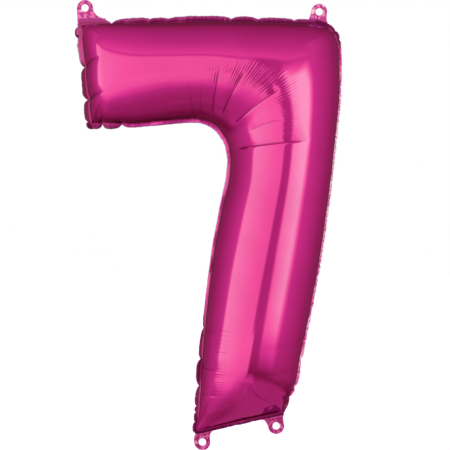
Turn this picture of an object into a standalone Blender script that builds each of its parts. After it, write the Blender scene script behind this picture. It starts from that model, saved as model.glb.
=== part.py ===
"""Foil number balloon, digit 7, inflated.

Two foil films are welded together round the outline of a 7 and blown up into a round tube. Four die-cut
tabs with a hole stand out of the corners, a filler neck stands out of the bar's left end, and a flat
two-film valve runs from the neck into the balloon. It stands 660 mm tall over its tabs.

Frame: metres, X to the right, Z up, the front faces -Y. The seam lies in the plane Y = 0. The origin is
under the middle of the balloon, level with the tip of its lowest tab.
"""

import math

import bmesh
import bpy
import numpy as np
from mathutils import Matrix, Vector

# ---------------------------------------------------------------- driving dimensions
HEM = 0.005  # film outside the weld line, all round the outline
FILM = 0.0004  # modelled thickness of one foil film
WELD = 0.0004  # modelled thickness of the melted sealant between two films
VALVE_FILM = 0.0002  # modelled thickness of one valve film
GAP = 0.0003  # clearance between neighbouring layers

# Cross-ribs of the inflated tube, from the bar's left end, round the corner and down the stem. Each holds
# the weld line's point on the outer side (top and right), its point on the inner side (underside and
# left), both as (x, z), and half the tube's depth.
RIBS = (
    ((-0.1845, 0.6255), (-0.1730, 0.4780), 0.066),
    ((-0.1150, 0.6280), (-0.1130, 0.4780), 0.068),
    ((-0.0400, 0.6310), (-0.0560, 0.4835), 0.069),
    ((0.0250, 0.6315), (-0.0140, 0.4850), 0.071),
    ((0.0950, 0.6290), (0.0090, 0.4760), 0.074),
    ((0.1580, 0.6250), (0.0220, 0.4610), 0.077),
    ((0.1815, 0.6115), (0.0280, 0.4500), 0.078),
    ((0.1895, 0.5880), (0.0305, 0.4390), 0.078),
    ((0.1915, 0.5300), (0.0320, 0.4220), 0.076),
    ((0.1850, 0.4560), (0.0290, 0.3930), 0.074),
    ((0.1750, 0.3700), (0.0200, 0.3560), 0.073),
    ((0.1630, 0.2860), (0.0080, 0.2920), 0.072),
    ((0.1490, 0.2100), (-0.0020, 0.2180), 0.070),
    ((0.1345, 0.1400), (-0.0110, 0.1400), 0.067),
    ((0.1250, 0.0930), (-0.0150, 0.0800), 0.065),
    ((0.1070, 0.0570), (-0.0180, 0.0290), 0.064),
)
END_ROUND = 0.062  # length over which a closed end swells to the tube's full depth
END_STEPS = 6  # rows on each closed end
TUBE_ROWS = 46  # rows between the two ends
ACROSS = 18  # columns from weld line to weld line
SPINE_SAMPLES = 400  # points at which the tube's middle line is measured

# Tabs: name, x and z of the point on the root line below the hole, direction from there to the tip in
# degrees, distance to the hole's centre, and how far the root reaches to the left and to the right as seen
# from the front with the tip up
TAB_TIP_R = 0.0117
TAB_HOLE_R = 0.0055
TAB_PLY = WELD / 2 + GAP + FILM / 2  # seam plane to the middle of a tab's film
FLARE_STEPS = 6
TIP_STEPS = 14
HOLE_STEPS = 24
TABS = (
    ("top_left", -0.1806, 0.6321, 92.0, 0.0162, 0.0117, 0.0300),
    ("top_right", 0.1602, 0.6299, 80.0, 0.0129, 0.0135, 0.0150),
    ("bottom_left", -0.0118, 0.0240, -77.0, 0.0126, 0.0200, 0.0075),
    ("bottom_right", 0.0963, 0.0482, -77.0, 0.0133, 0.0150, 0.0180),
)

# Filler neck, folded back at rest, and the valve inside it
NECK_Z = 0.6140
NECK_HALF = 0.0070
NECK_LENGTH = 0.0260
NECK_FOLD = math.radians(83.0)
NECK_CORNER_R = 0.0030
NECK_CORNER_STEPS = 5
NECK_ROOT_GAP = 0.0005
NECK_ROOT_X = -0.1909
NECK_SWEEP = 0.0017  # how far behind its root line the folded neck's thickness reaches
VALVE_HALF = 0.0055  # half the width of the sleeve through the weld
VALVE_STACK = WELD / 2 + GAP + VALVE_FILM  # seam plane to the outer face of a valve film
SLEEVE_LENGTH = 0.0130
SLEEVE_SIDE = 0.0010  # width of the weld along each side of the sleeve
COAT = 0.0001  # thickness of the release coat
COAT_LENGTH = 0.0080
FLAP_HALF = 0.0100  # half the width of the flaps inside the balloon
FLAP_LENGTH = 0.1100
FLAP_SIDE_WELD = 0.0030  # width of the weld along each side of the flaps
PASSAGE = (0.0400, 0.0100, 2 * (VALVE_HALF + GAP))  # cut through the seam's weld for the sleeve

SEAM_FACE = WELD / 2 + GAP  # seam plane to the inner face of a panel's hem
NECK_LIFT = VALVE_STACK + GAP - SEAM_FACE  # how much further out the hem lies where the valve passes
NECK_LIFT_SPREAD = 0.0220  # half the length of hem over which it rises and falls
LEFT_END_X = -0.1000  # everything left of this belongs to the bar's left end

MAGENTA = (0.70, 0.03, 0.27)


# ---------------------------------------------------------------- scene helpers
def clear_scene():
    for obj in list(bpy.data.objects):
        bpy.data.objects.remove(obj)


def collection(name):
    made = bpy.data.collections.new(name)
    bpy.context.scene.collection.children.link(made)
    return made


def material(name, colour, roughness, metallic, alpha=1.0):
    mat = bpy.data.materials.new(name)
    mat.use_nodes = True
    shader = mat.node_tree.nodes["Principled BSDF"]
    shader.inputs["Base Color"].default_value = (*colour, 1.0)
    shader.inputs["Roughness"].default_value = roughness
    shader.inputs["Metallic"].default_value = metallic
    shader.inputs["Alpha"].default_value = alpha
    return mat


def add_object(name, data, where, mat):
    obj = bpy.data.objects.new(name, data)
    obj.data.materials.append(mat)
    where.objects.link(obj)
    return obj


def add_pivot(name, matrix, where):
    """An empty on a joint's axis, which the pieces of a moving body are parented to."""
    pivot = bpy.data.objects.new(name, None)
    pivot.matrix_world = matrix
    where.objects.link(pivot)
    return pivot


def box(name, size, where, mat, pivot, centre):
    """A box of the given size, its centre in the pivot's frame."""
    mesh = bmesh.new()
    bmesh.ops.create_cube(mesh, size=1)
    bmesh.ops.scale(mesh, vec=size, verts=mesh.verts)
    data = bpy.data.meshes.new(name)
    mesh.to_mesh(data)
    mesh.free()
    obj = add_object(name, data, where, mat)
    obj.parent = pivot
    obj.location = centre
    return obj


def cut(obj, cutter):
    """Cuts the cutter's shape out of obj. The cutter itself is only a guide."""
    cutter.hide_render = True
    cutter.display_type = "WIRE"
    difference = obj.modifiers.new(cutter.name, "BOOLEAN")
    difference.operation = "DIFFERENCE"
    difference.object = cutter


# ---------------------------------------------------------------- the inflated 7
def catmull_rom(values, t):
    """The smooth curve through evenly numbered values, at t from 0 to len(values) - 1."""
    last = len(values) - 1
    i = min(int(t), last - 1)
    f = t - i
    p1, p2 = values[i], values[i + 1]
    p0 = values[i - 1] if i > 0 else 2 * p1 - p2
    p3 = values[i + 2] if i + 2 <= last else 2 * p2 - p1
    slope, bend, twist = p2 - p0, 2 * p0 - 5 * p1 + 4 * p2 - p3, 3 * p1 - p0 - 3 * p2 + p3
    return 0.5 * (2 * p1 + slope * f + bend * f**2 + twist * f**3)


RIB_VALUES = np.array([(*outer, *inner, depth) for outer, inner, depth in RIBS])


def spine():
    """(rib numbers, length along the tube's middle line at each), finely sampled."""
    numbers = np.linspace(0, len(RIBS) - 1, SPINE_SAMPLES)
    ribs = np.array([catmull_rom(RIB_VALUES, n) for n in numbers])
    middle = (ribs[:, 0:2] + ribs[:, 2:4]) / 2
    steps = np.linalg.norm(np.diff(middle, axis=0), axis=1)
    return numbers, np.concatenate([[0.0], np.cumsum(steps)])


SPINE_NUMBERS, SPINE_LENGTHS = spine()
TUBE_LENGTH = SPINE_LENGTHS[-1]


def end_rise(s):
    """Share of the full depth at length s along the tube: a quarter ellipse at each closed end."""
    near = min(s, TUBE_LENGTH - s, END_ROUND) / END_ROUND
    return math.sqrt(max(0.0, 1 - (1 - near) ** 2))


def row_lengths():
    """Where the rows lie along the tube: close together on the ends' steep part, then evenly spaced."""
    end = [END_ROUND * (1 - math.cos(math.pi / 2 * k / END_STEPS)) for k in range(END_STEPS)]
    middle = np.linspace(END_ROUND, TUBE_LENGTH - END_ROUND, TUBE_ROWS + 1)
    return end + list(middle) + [TUBE_LENGTH - s for s in reversed(end)]


ROWS = row_lengths()
LAST_ROW, LAST_COLUMN = len(ROWS) + 1, ACROSS + 2


def hem_height(x, z):
    """Seam plane to the hem's inner face: a little more where the valve passes through the weld."""
    if x > LEFT_END_X:
        return SEAM_FACE
    near = 1 - min(1.0, abs(z - NECK_Z) / NECK_LIFT_SPREAD)
    smooth = near * near * (3 - 2 * near)
    return SEAM_FACE + NECK_LIFT * min(1.0, 2 * smooth)


def panel_point(row, column):
    """(x, z, height over the seam plane) of a grid corner. The outermost corners are the hem's edge."""
    s = ROWS[min(max(row - 1, 0), len(ROWS) - 1)]
    values = catmull_rom(RIB_VALUES, float(np.interp(s, SPINE_LENGTHS, SPINE_NUMBERS)))
    outer, inner, depth = Vector(values[0:2]), Vector(values[2:4]), values[4]
    across = outer - inner
    half, across = across.length / 2, across.normalized()
    angle = math.pi * min(max(column - 1, 0), ACROSS) / ACROSS
    point = (outer + inner) / 2 - across * half * math.cos(angle)
    if column == 0:
        point -= across * HEM
    if column == LAST_COLUMN:
        point += across * HEM
    along = Vector((across.y, -across.x))
    if row == 0:
        point -= along * HEM
    if row == LAST_ROW:
        point += along * HEM
    swell = 0.0 if column in (0, LAST_COLUMN) else depth * end_rise(s) * math.sin(angle)
    return point.x, point.y, hem_height(point.x, point.y) + swell


def outline_grid(place):
    """A grid whose corner (row, column) is moved to place(row, column)."""
    mesh = bmesh.new()
    bmesh.ops.create_grid(mesh, x_segments=LAST_ROW, y_segments=LAST_COLUMN, size=0.5)
    for vert in mesh.verts:
        row = round((vert.co.x + 0.5) * LAST_ROW)
        column = round((vert.co.y + 0.5) * LAST_COLUMN)
        vert.co = place(row, column)
    return mesh


def finish_sheet(name, mesh, thickness, offset, where, mat):
    """The open sheet as an object that Solidify gives its thickness."""
    data = bpy.data.meshes.new(name)
    mesh.to_mesh(data)
    mesh.free()
    obj = add_object(name, data, where, mat)
    solidify = obj.modifiers.new("film", "SOLIDIFY")
    solidify.thickness = thickness
    solidify.offset = offset
    data.shade_smooth()
    return obj


def make_panel(name, side, where, mat):
    """One foil film with its swollen middle and flat hem. side is -1 for the front and 1 for the back."""

    def place(row, column):
        x, z, height = panel_point(row, column)
        return x, side * height, z

    mesh = outline_grid(place)
    if side > 0:
        bmesh.ops.reverse_faces(mesh, faces=mesh.faces)
    finish_sheet(name, mesh, FILM, 1.0, where, mat)


def make_seam_weld(where, cutters, mat):
    """The band of melted sealant between the two hems, open where the valve passes."""

    def place(row, column):
        x, z, _ = panel_point(row, column)
        return x, 0.0, z

    mesh = outline_grid(place)
    inner_faces = [face for face in mesh.faces if not any(vert.is_boundary for vert in face.verts)]
    bmesh.ops.delete(mesh, geom=inner_faces, context="FACES")
    weld = finish_sheet("seam_weld", mesh, WELD, 0.0, where, mat)
    passage = box("valve_passage_cutter", PASSAGE, cutters, mat, None, (NECK_ROOT_X, 0, NECK_Z))
    cut(weld, passage)


# ---------------------------------------------------------------- flat pieces
def flat_outline(name, loops, thickness, where, mat, pivot, depth):
    """A flat piece cut to the loops of (x, y) points, parallel to its pivot's XY plane at depth along Z."""
    curve = bpy.data.curves.new(name, "CURVE")
    curve.dimensions = "2D"
    curve.fill_mode = "BOTH"
    curve.extrude = thickness / 2
    for points in loops:
        spline = curve.splines.new("POLY")
        spline.points.add(len(points) - 1)
        spline.use_cyclic_u = True
        for target, (x, y) in zip(spline.points, points, strict=True):
            target.co = (x, y, 0, 1)
    obj = add_object(name, curve, where, mat)
    obj.parent = pivot
    obj.location = (0, 0, depth)
    return obj


def circle(x, y, radius, start, end, steps, closed=False):
    """Points on an arc from start to end degrees. A closed circle leaves out its last point."""
    count = steps if closed else steps + 1
    angles = [math.radians(start + (end - start) * k / steps) for k in range(count)]
    return [(x + radius * math.cos(a), y + radius * math.sin(a)) for a in angles]


def tab_flare(root, reach, inset):
    """One side of a tab: from the root line it sweeps in, hollow, to the tip's width beside the hole."""
    points = []
    for k in range(FLARE_STEPS):
        angle = math.pi / 2 * k / FLARE_STEPS
        half = root - (root - TAB_TIP_R) * math.sin(angle) - inset
        points.append((half, inset + (reach - inset) * (1 - math.cos(angle))))
    return points


def tab_outline(left, right, reach, inset):
    """A tab's rim: two flared sides and a half round tip. inset shrinks it."""
    tip = circle(0, reach, TAB_TIP_R - inset, 0, 180, TIP_STEPS)
    left_side = [(-x, y) for x, y in reversed(tab_flare(left, reach, inset))]
    return tab_flare(right, reach, inset) + tip + left_side


def make_tab(name, x, z, direction, reach, left, right, where, film, sealant):
    """A hanging tab: front film, melted sealant and back film, with the hole through all three."""
    turn = Matrix.Rotation(math.radians(direction - 90), 4, Vector((0, -1, 0)))
    upright = Matrix.Rotation(math.pi / 2, 4, "X")
    pivot = add_pivot(f"tab_{name}_pivot", Matrix.Translation((x, 0, z)) @ turn @ upright, where)
    rim = tab_outline(left, right, reach, 0)
    hole = circle(0, reach, TAB_HOLE_R, 0, 360, HOLE_STEPS, closed=True)
    flat_outline(f"tab_{name}_front_film", [rim, hole], FILM, where, film, pivot, TAB_PLY)
    flat_outline(f"tab_{name}_back_film", [rim, hole], FILM, where, film, pivot, -TAB_PLY)
    weld_rim = tab_outline(left, right, reach, GAP)
    weld_hole = circle(0, reach, TAB_HOLE_R + GAP, 0, 360, HOLE_STEPS, closed=True)
    flat_outline(f"tab_{name}_weld", [weld_rim, weld_hole], WELD, where, sealant, pivot, 0)


def neck_outline(half, length):
    """A straight strip from the root, with its two far corners rounded."""
    right = circle(half - NECK_CORNER_R, length - NECK_CORNER_R, NECK_CORNER_R, 0, 90, NECK_CORNER_STEPS)
    left = circle(-half + NECK_CORNER_R, length - NECK_CORNER_R, NECK_CORNER_R, 90, 180, NECK_CORNER_STEPS)
    return [(half, NECK_ROOT_GAP), *right, *left, (-half, NECK_ROOT_GAP)]


def make_sleeve(name, half, length, start, where, cutters, mat, pivot):
    """Two valve films welded at both sides: a flat tube along the pivot's Y, open at both ends."""
    outer = VALVE_STACK
    inner = outer - VALVE_FILM
    middle = (0, start + length / 2, 0)
    sleeve = box(name, (2 * half, length, 2 * outer), where, mat, pivot, middle)
    bore_size = (2 * half - 2 * SLEEVE_SIDE, 2 * length, 2 * inner)
    cut(sleeve, box(f"{name}_bore", bore_size, cutters, mat, pivot, middle))


def neck_frame(fold):
    """At the neck's root, X runs up the balloon's end and Y along the neck, which is folded back by fold."""
    along = Vector((-math.cos(fold), math.sin(fold), 0))
    up = Vector((0, 0, 1))
    turn = Matrix((up, along, up.cross(along))).transposed().to_4x4()
    return Matrix.Translation((NECK_ROOT_X, 0, NECK_Z)) @ turn


def make_neck(where, cutters, film, valve_film):
    """The filler neck outside the weld: two foil films round the valve's flat mouth."""
    pivot = add_pivot("filler_neck_pivot", neck_frame(NECK_FOLD), where)
    outline = neck_outline(NECK_HALF, NECK_LENGTH)
    ply = VALVE_STACK + GAP + FILM / 2
    flat_outline("neck_front_film", [outline], FILM, where, film, pivot, ply)
    flat_outline("neck_back_film", [outline], FILM, where, film, pivot, -ply)
    mouth_length = NECK_LENGTH - NECK_ROOT_GAP
    make_sleeve("valve_mouth", VALVE_HALF, mouth_length, NECK_ROOT_GAP, where, cutters, valve_film, pivot)


def make_sleeve_in_weld(where, cutters, valve_film, coat):
    """The valve where it passes through the weld, held open by a release coat on its inner side."""
    root = add_pivot("valve_sleeve_root", neck_frame(0.0), where)
    start = -NECK_SWEEP - SLEEVE_LENGTH
    make_sleeve("valve_sleeve", VALVE_HALF, SLEEVE_LENGTH, start, where, cutters, valve_film, root)
    size = (2 * VALVE_HALF - 2 * SLEEVE_SIDE - GAP, COAT_LENGTH, COAT)
    coat_depth = VALVE_STACK - VALVE_FILM - GAP / 2 - COAT / 2
    box("valve_release_coat", size, where, coat, root, (0, start + SLEEVE_LENGTH / 2, coat_depth))


def make_flaps(where, valve_film):
    """The two long valve films that gas presses shut. The back one holds the welds along their sides."""
    hinge_y = -NECK_SWEEP - SLEEVE_LENGTH - GAP
    depth = VALVE_STACK - VALVE_FILM / 2
    middle = -FLAP_LENGTH / 2
    flap_size = (2 * FLAP_HALF, FLAP_LENGTH, VALVE_FILM)
    front = add_pivot("valve_front_pivot", neck_frame(0.0) @ Matrix.Translation((0, hinge_y, depth)), where)
    box("valve_front_film", flap_size, where, valve_film, front, (0, middle, 0))
    back = add_pivot("valve_back_pivot", neck_frame(0.0) @ Matrix.Translation((0, hinge_y, -depth)), where)
    box("valve_back_film", flap_size, where, valve_film, back, (0, middle, 0))
    strip_size = (FLAP_SIDE_WELD, FLAP_LENGTH, WELD / 2)
    for name, side in (("upper", 1), ("lower", -1)):
        strip_x = side * (FLAP_HALF - FLAP_SIDE_WELD / 2)
        box(f"valve_side_weld_{name}", strip_size, where, valve_film, back, (strip_x, middle, depth))


# ---------------------------------------------------------------- the balloon
def main():
    clear_scene()
    balloon = collection("foil_number_balloon")
    cutters = collection("cutters")
    foil = material("magenta_foil", MAGENTA, 0.18, 1.0)
    sealant = material("sealant", (0.72, 0.30, 0.48), 0.40, 0.0)
    valve_film = material("valve_film", (0.85, 0.86, 0.88), 0.35, 0.0, alpha=0.6)
    coat = material("release_coat", (0.80, 0.82, 0.84), 0.60, 0.0)

    make_panel("front_panel", -1, balloon, foil)
    make_panel("back_panel", 1, balloon, foil)
    make_seam_weld(balloon, cutters, sealant)
    make_neck(balloon, cutters, foil, valve_film)
    make_sleeve_in_weld(balloon, cutters, valve_film, coat)
    make_flaps(balloon, valve_film)
    for tab in TABS:
        make_tab(*tab, balloon, foil, sealant)


main()
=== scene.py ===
"""Looks of the foil number balloon: its two inflated foil films, hem, hanging tabs, filler neck and valve."""
import math

import bpy
import numpy as np
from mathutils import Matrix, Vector


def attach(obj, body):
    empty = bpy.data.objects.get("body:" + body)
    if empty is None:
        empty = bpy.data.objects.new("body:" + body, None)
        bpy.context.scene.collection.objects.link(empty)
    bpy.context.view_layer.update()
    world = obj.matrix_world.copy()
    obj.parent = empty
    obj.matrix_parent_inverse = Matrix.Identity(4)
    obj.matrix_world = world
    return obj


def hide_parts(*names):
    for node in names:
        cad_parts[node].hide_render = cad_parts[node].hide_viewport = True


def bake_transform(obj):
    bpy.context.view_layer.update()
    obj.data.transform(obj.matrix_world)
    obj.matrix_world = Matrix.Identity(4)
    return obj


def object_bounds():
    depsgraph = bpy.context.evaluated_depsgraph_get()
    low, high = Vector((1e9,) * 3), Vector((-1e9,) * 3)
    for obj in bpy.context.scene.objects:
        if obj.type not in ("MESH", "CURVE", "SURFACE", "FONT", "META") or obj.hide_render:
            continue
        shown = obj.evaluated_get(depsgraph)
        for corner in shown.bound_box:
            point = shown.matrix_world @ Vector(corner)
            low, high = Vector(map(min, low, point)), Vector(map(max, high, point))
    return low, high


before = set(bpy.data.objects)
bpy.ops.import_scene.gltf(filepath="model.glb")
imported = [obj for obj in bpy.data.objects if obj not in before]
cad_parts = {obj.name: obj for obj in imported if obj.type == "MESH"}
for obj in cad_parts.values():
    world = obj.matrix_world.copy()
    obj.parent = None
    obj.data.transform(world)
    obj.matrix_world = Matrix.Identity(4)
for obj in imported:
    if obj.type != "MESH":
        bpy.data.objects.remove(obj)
cad_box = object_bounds()
scene = bpy.context.scene

# ---- the tube's outline, in metres
# ribs across the tube, from its left end to its lower end: outer weld (x, z), inner weld (x, z), half depth
RIBS = (
    ((-0.1868, 0.6225), (-0.1715, 0.4790), 0.0585),
    ((-0.1150, 0.6235), (-0.1130, 0.4785), 0.0620),
    ((-0.0400, 0.6255), (-0.0560, 0.4835), 0.0680),
    ((0.0250, 0.6260), (-0.0140, 0.4850), 0.0755),
    ((0.0950, 0.6245), (0.0090, 0.4760), 0.0795),
    ((0.1580, 0.6220), (0.0220, 0.4610), 0.0775),
    ((0.1815, 0.6115), (0.0280, 0.4500), 0.0765),
    ((0.1895, 0.5880), (0.0305, 0.4390), 0.0760),
    ((0.1915, 0.5300), (0.0320, 0.4220), 0.0755),
    ((0.1850, 0.4560), (0.0290, 0.3930), 0.074),
    ((0.1750, 0.3700), (0.0200, 0.3560), 0.073),
    ((0.1630, 0.2860), (0.0080, 0.2920), 0.072),
    ((0.1490, 0.2100), (-0.0015, 0.2180), 0.070),
    ((0.1345, 0.1400), (-0.0090, 0.1400), 0.067),
    ((0.1250, 0.0930), (-0.0125, 0.0800), 0.064),
    ((0.1070, 0.0560), (-0.0160, 0.0290), 0.062),
)
# width of the film outside the weld line: (share of the side from its left or upper end, width)
HEM_WIDTHS = {
    "inner": ((0.00, 0.0080), (0.05, 0.0078), (0.08, 0.0060), (0.40, 0.0052), (0.52, 0.0037), (0.76, 0.0040),
              (0.84, 0.0074), (1.00, 0.0076)),
    "outer": ((0.00, 0.0100), (0.10, 0.0100), (0.25, 0.0108), (0.36, 0.0085), (0.42, 0.0058), (0.46, 0.0042),
              (0.80, 0.0042), (0.90, 0.0052), (0.96, 0.0050), (1.00, 0.0042)),
    "left": ((0.00, 0.0095), (0.30, 0.0088), (0.60, 0.0080), (0.80, 0.0092), (0.86, 0.0070), (0.90, 0.0034),
             (0.985, 0.0031), (1.00, 0.0056)),
    "lower": ((0.00, 0.0058), (1.00, 0.0052)),
}
PLY = 0.0005  # seam plane to the outer face of the film in the hem
LEFT_END = (0.032, 2.0, 0.5)  # length over which the end swells, power of its rounding, more at corners
LEFT_SLACK = (0.10, 0.075)  # share of the depth still missing beyond the left end, and over what length
LOWER_END = (0.045, 2.6)  # length of the lower end's cone, sharpness of the bend above it
# power of the section's superellipse (2 is an ellipse) by length along the tube
SQUARENESS = (
    (0.00, 2.75), (0.04, 2.60), (0.08, 2.24), (0.13, 2.00), (0.67, 2.00), (0.71, 2.10), (0.76, 2.50),
)

# ---- grids over the tube
FINE_PITCH = 0.0022  # rows of the finished film
FINE_ZONES = (  # middle, half length and row pitch of the stretches with finer folds
    (0.270, 0.120, 0.0008),
    (0.000, 0.030, 0.0012),
    (0.784, 0.095, 0.0012),
)
FINE_COLUMNS = 120
SIM_PITCH = 0.0060
SIM_ZONES = ((0.400, 0.130, 0.0035), (0.000, 0.050, 0.0035), (0.784, 0.070, 0.0035))
SIM_COLUMNS = 56
HEM_STEPS = (0.33, 0.66, 0.97, 1.00)  # the last one closes the film's edge at the seam plane
HEM_LIPS = (1.0, 1.0, 1.0, 0.0)  # share of PLY that the film stands off the seam plane at each step

# ---- cloth
FLAT_TURN = 0.62  # turn of the corner in the flat film as a share of the inflated one, about 2 / pi
CLOTH_SCALE = 10.0  # the run is made this many times larger, where the solver's tolerances suit it
CLOTH_FRAMES = 30
CLOTH_SETTINGS = {
    "quality": 6, "mass": 0.02,
    "tension_stiffness": 200, "compression_stiffness": 100, "shear_stiffness": 40, "bending_stiffness": 0.02,
    "tension_damping": 5, "compression_damping": 5, "shear_damping": 2, "bending_damping": 0.2,
    "air_damping": 3,
    "use_pressure": True, "uniform_pressure_force": 100,
}
DRIFT_LIMIT = 0.009  # farthest a point may move from the drawn tube
DRIFT_START = (0.03, 0.14)  # distances from the lower end over which it starts to move

# ---- folds, by (length along the tube, share across it)
# path; depth of its sharp bottom, depth and width of the hollow round it, tilt across it; share of its
# length over which it fades in and out; strength of the painted shade along its bottom
CREASES = (
    (((0.2150, 0.120), (0.2035, 0.338), (0.1977, 0.495)), 0.0005, 0.0009, 0.008, 0.0003, (0.20, 0.25), 0.8),
    (((0.2377, 0.160), (0.2354, 0.355), (0.2357, 0.490)), 0.0006, 0.0012, 0.009, 0.0004, (0.15, 0.18), 0.9),
    (((0.2740, 0.170), (0.2846, 0.352), (0.2945, 0.478)), 0.0007, 0.0014, 0.010, 0.0006, (0.15, 0.12), 1.0),
    (((0.3100, 0.260), (0.3230, 0.370), (0.3395, 0.475)), 0.0003, 0.0005, 0.008, 0.0002, (0.20, 0.25), 0.5),
    (((0.3185, 0.110), (0.3563, 0.352), (0.3759, 0.510), (0.3875, 0.650)),
     0.0007, 0.0013, 0.010, 0.0005, (0.15, 0.30), 0.9),
    (((0.1745, 0.065), (0.1660, 0.240), (0.1603, 0.400)), 0.0002, 0.0003, 0.005, 0.0001, (0.30, 0.50), 0.4),
    (((0.1905, 0.070), (0.1830, 0.250), (0.1780, 0.430)), 0.0002, 0.0002, 0.005, 0.0001, (0.30, 0.50), 0.3),
    (((0.0000, 0.545), (0.0140, 0.568), (0.0360, 0.585)), 0.0006, 0.0032, 0.010, 0.0003, (0.02, 0.70), 0.9),
    (((0.0000, 0.326), (0.0140, 0.340), (0.0360, 0.352)), 0.0006, 0.0032, 0.010, 0.0003, (0.02, 0.70), 0.9),
    (((0.0180, 0.010), (0.0175, 0.070), (0.0170, 0.130)), 0.0005, 0.0011, 0.007, 0.0004, (0.05, 0.60), 0.8),
    (((0.0490, 0.010), (0.0460, 0.060), (0.0430, 0.120)), 0.0005, 0.0008, 0.006, 0.0003, (0.05, 0.60), 0.7),
    (((0.6480, 0.030), (0.6500, 0.130), (0.6500, 0.240)), 0.0003, 0.0004, 0.006, 0.0003, (0.20, 0.50), 0.4),
    (((0.7000, 0.030), (0.7010, 0.160), (0.7015, 0.310)), 0.0004, 0.0006, 0.007, 0.0004, (0.20, 0.45), 0.6),
    (((0.7340, 0.050), (0.7352, 0.180), (0.7370, 0.340)), 0.0004, 0.0004, 0.008, 0.0002, (0.30, 0.35), 0.3),
    (((0.7000, 0.505), (0.7250, 0.470), (0.7387, 0.455), (0.7497, 0.420)),
     0.0001, 0.0008, 0.008, 0.0, (0.40, 0.35), 0.0),
    (((0.7180, 0.515), (0.7295, 0.520), (0.7439, 0.583), (0.7565, 0.685), (0.7660, 0.760)),
     0.0003, 0.0012, 0.008, -0.0005, (0.25, 0.40), 0.3),
)
SHARP = 0.0010  # width of a crease's sharp bottom
ROUND = 0.0004  # radius that keeps the bottom from being a knife's edge
TILT_WIDTH = 0.0015  # how far from the crease its higher side reaches its height
CREASE_LINE = 0.0010  # half width of the painted dark line of shade at its bottom
# fine ridges between two creases: first and second crease, number, height, faded in and out across the film
RIDGES = (
    (5, 0, 9, 0.00020, (0.24, 0.34, 0.50, 0.57)),
    (0, 1, 10, 0.00026, (0.32, 0.40, 0.52, 0.57)),
    (1, 2, 15, 0.00026, (0.36, 0.43, 0.50, 0.55)),
    (2, 4, 22, 0.00026, (0.42, 0.48, 0.53, 0.57)),
)
# fine ridges of the lower end: from and to along the tube, from and to across it, pitch, height
LOWER_RIDGES = ((0.690, 0.744, 0.70, 0.88, 0.0036, 0.00014), (0.640, 0.740, 0.20, 0.36, 0.0034, 0.00010))
FOLD_FADE = (0.03, 0.004)  # share of the width beside the welds, and length at the ends, where folds set in
FRONT_WIDTH = 0.2  # about the width of the front over its curve
WELD_DARK = 0.75  # painted shade along the weld lines
WELD_LINE = 0.0022  # half width of that painted dark line along them
VALLEY_DARK = 0.28  # painted shade in the ridges' valleys
# puckers by side: place along it, how far they draw the seam in, how much they take off the hem, their length
NOTCHES = {
    "left": (
        (0.571, 0.0016, 0.0052, 0.0040), (0.241, 0.0018, 0.0056, 0.0040), (0.020, 0.0006, 0.0040, 0.0022),
    ),
    "inner": (
        (0.0180, 0.0020, 0.0050, 0.0026), (0.0487, 0.0010, 0.0046, 0.0045),
        (0.6474, 0.0004, 0.0024, 0.0045), (0.6905, 0.0006, 0.0046, 0.0045),
        (0.7261, 0.0006, 0.0046, 0.0045), (0.7523, 0.0002, 0.0030, 0.0022),
        (0.7612, 0.0002, 0.0030, 0.0022), (0.7727, 0.0002, 0.0030, 0.0022),
    ),
    "outer": (
        (0.0411, 0.0008, 0.0066, 0.0062), (0.0907, 0.0002, 0.0026, 0.0060),
        (0.1160, 0.0002, 0.0022, 0.0050), (0.1902, 0.0003, 0.0040, 0.0060),
        (0.2179, 0.0003, 0.0034, 0.0060), (0.2508, 0.0003, 0.0028, 0.0050),
        (0.2900, 0.0004, 0.0016, 0.0020), (0.2990, 0.0004, 0.0016, 0.0020),
        (0.6916, 0.0005, 0.0026, 0.0050), (0.7381, 0.0005, 0.0026, 0.0045),
        (0.7560, 0.0020, 0.0030, 0.0070),
    ),
    "lower": (
        (0.439, 0.0002, 0.0008, 0.0060), (0.654, 0.0002, 0.0008, 0.0060),
    ),
}
# the hem's tilt to the front at its edge, its long wave and its fine crinkle, by side
HEM_WAVES = {
    "inner": (-0.0004, 0.0009, 0.0001),
    "outer": (0.0012, 0.0007, 0.0003),
    "left": (-0.0006, 0.0012, 0.0002),
    "lower": (0.0002, 0.0005, 0.0002),
}
HEM_SEEDS = (11, 21, 31, 41)  # inner, outer, left, lower
WAVE_PITCH = 0.020
CRINKLE_PITCH = 0.0030
HEM_UNEVEN = (0.05, 0.04)  # share by which its width varies, in its long wave and its fine crinkle
HEM_LEAST = 0.0008  # width that the deepest pucker leaves
TAB_CALM = (-0.002, 0.014)  # distances past a tab's root over which the hem starts to wave
NECK_CALM = (0.008, 0.020)  # the same, from the middle of the neck's root
PUCKER_REACH = 0.014  # how far into the film a pucker draws it

# ---- tabs and neck, where the CAD model has them
TAB_TIP_R = 0.0117
TAB_TIP_LOW = 0.0102  # how far the tip's rounding reaches below the hole's middle
TAB_HOLE_R = 0.0055
TAB_THICKNESS = 0.0012
TAB_THINNEST = 0.35  # share of it that is left between the hem's films
TAB_TUCK = 0.0042  # how far the tab's film runs on between the hem's films
CRUMPLE_FAN = 0.00040  # height of the folds that fan out from a tab's root
CRUMPLES = ((0.0130, 0.00042), (0.0094, 0.00022), (0.0060, 0.00005))  # pitch and height of its other folds
TABS = (  # name, root (x, z), direction in degrees, reach of the hole, half widths of the root to each side
    ("top_left", (-0.1806, 0.6321), 92.0, 0.0162, 0.0117, 0.0300),
    ("top_right", (0.1602, 0.6299), 80.0, 0.0129, 0.0135, 0.0150),
    ("bottom_left", (-0.0118, 0.0240), -77.0, 0.0126, 0.0200, 0.0075),
    ("bottom_right", (0.0963, 0.0482), -77.0, 0.0133, 0.0150, 0.0180),
)
NECK_ROOT = (-0.1909, 0.6140)
NECK_FOLD = math.radians(83.0)
NECK_LENGTH = 0.0260
NECK_HALF = 0.0070
NECK_PLY = 0.0013
NECK_CORNER = 0.0030
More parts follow.
